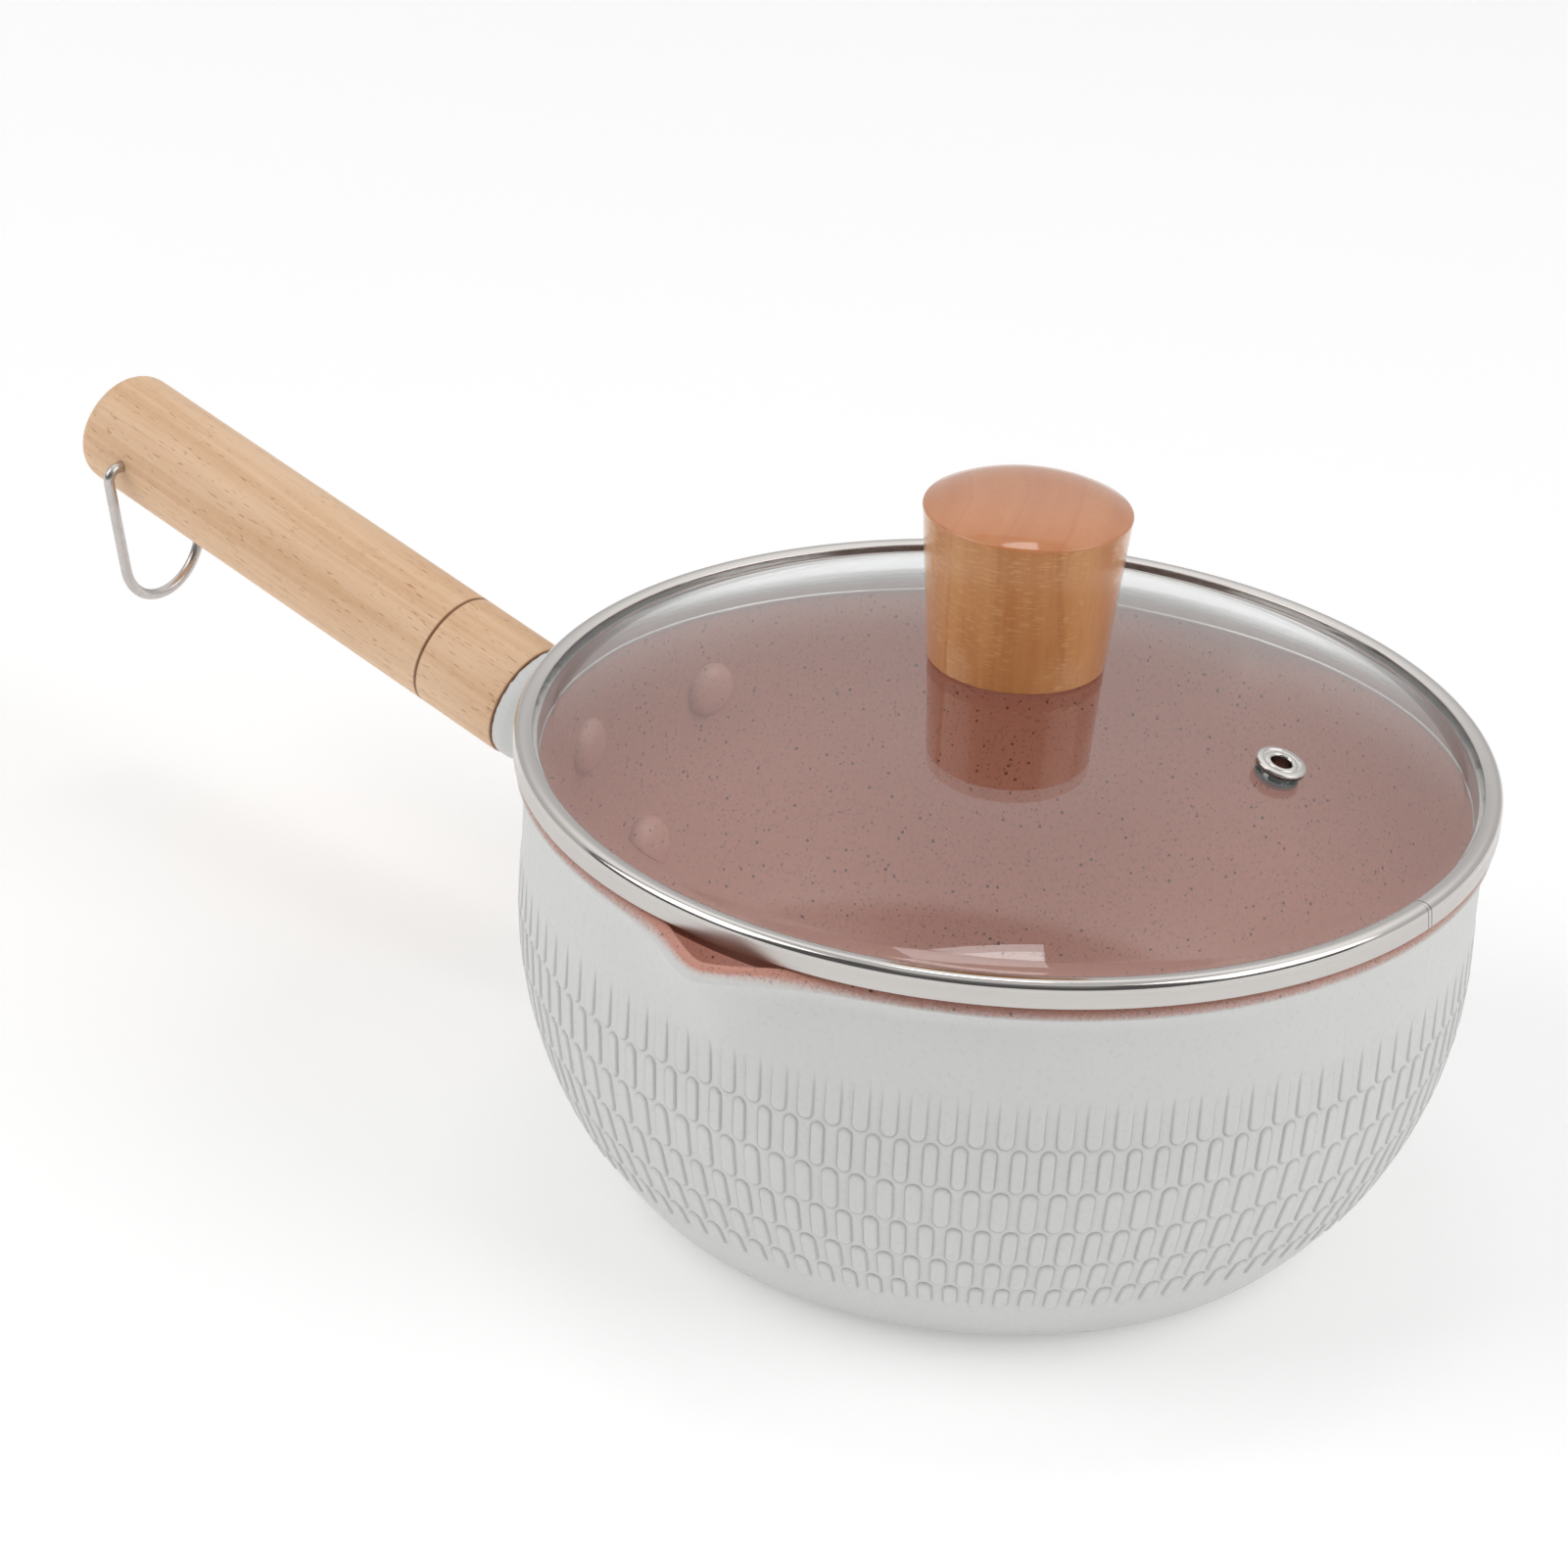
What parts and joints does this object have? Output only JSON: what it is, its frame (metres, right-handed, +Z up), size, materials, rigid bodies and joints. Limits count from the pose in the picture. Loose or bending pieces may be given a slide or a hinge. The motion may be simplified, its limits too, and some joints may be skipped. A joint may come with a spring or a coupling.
{
  "type": "saucepan with glass lid",
  "caption": "Bowl-sided aluminium saucepan with pouring spouts, a turned wooden handle with a wire hanging loop, and a domed glass lid with a steel rim, steam vent and wooden knob.",
  "frame": {"origin": "centre of the base, on the resting face", "axes": "+X along the handle in plan, +Z up; the spouts lie close to +Y and -Y"},
  "size_m": [0.3593, 0.2204, 0.153],
  "materials": {
    "pan_body": "fine matt off-white baked coating outside, speckled pink non-stick inside",
    "white_coating": "satin off-white baked coating",
    "interior_coating": "satin pink non-stick coating with fine dark speckles",
    "steel": "polished stainless steel",
    "grip_wood": "oiled beech, fine grain along the handle",
    "knob_wood": "glossy varnished orange-brown wood",
    "lid_glass": "clear tempered glass",
    "silicone": "translucent grey silicone",
    "brass": "plain machined brass"
  },
  "bodies": {
    "pan": {"pot_body": "pan_body", "induction_plate": "steel", "handle_bracket": "white_coating", "rivet_upper_left": "interior_coating", "rivet_upper_right": "interior_coating", "rivet_lower": "interior_coating", "handle_stud": "steel", "handle_grip": "grip_wood"},
    "loop": {"hanging_loop": "steel"},
    "lid": {"lid_rim": "steel", "lid_glass": "lid_glass", "vent_gasket": "silicone", "vent_eyelet": "steel", "vent_washer": "steel", "knob_pad": "silicone", "knob": "knob_wood", "knob_insert": "brass", "knob_seal": "silicone", "knob_washer": "steel", "knob_screw": "steel"}
  },
  "joints": [
    {"name": "lid_lift", "type": "slide", "parent": "pan", "child": "lid", "axis": [0, 0, 1], "range_m": [0, 0.15]},
    {"name": "loop_swing", "type": "hinge", "parent": "pan", "child": "loop", "pos_m": [0.24045, 0, 0.08596], "axis": [0, 1, 0], "range_deg": [-255, 50]}
  ]
}
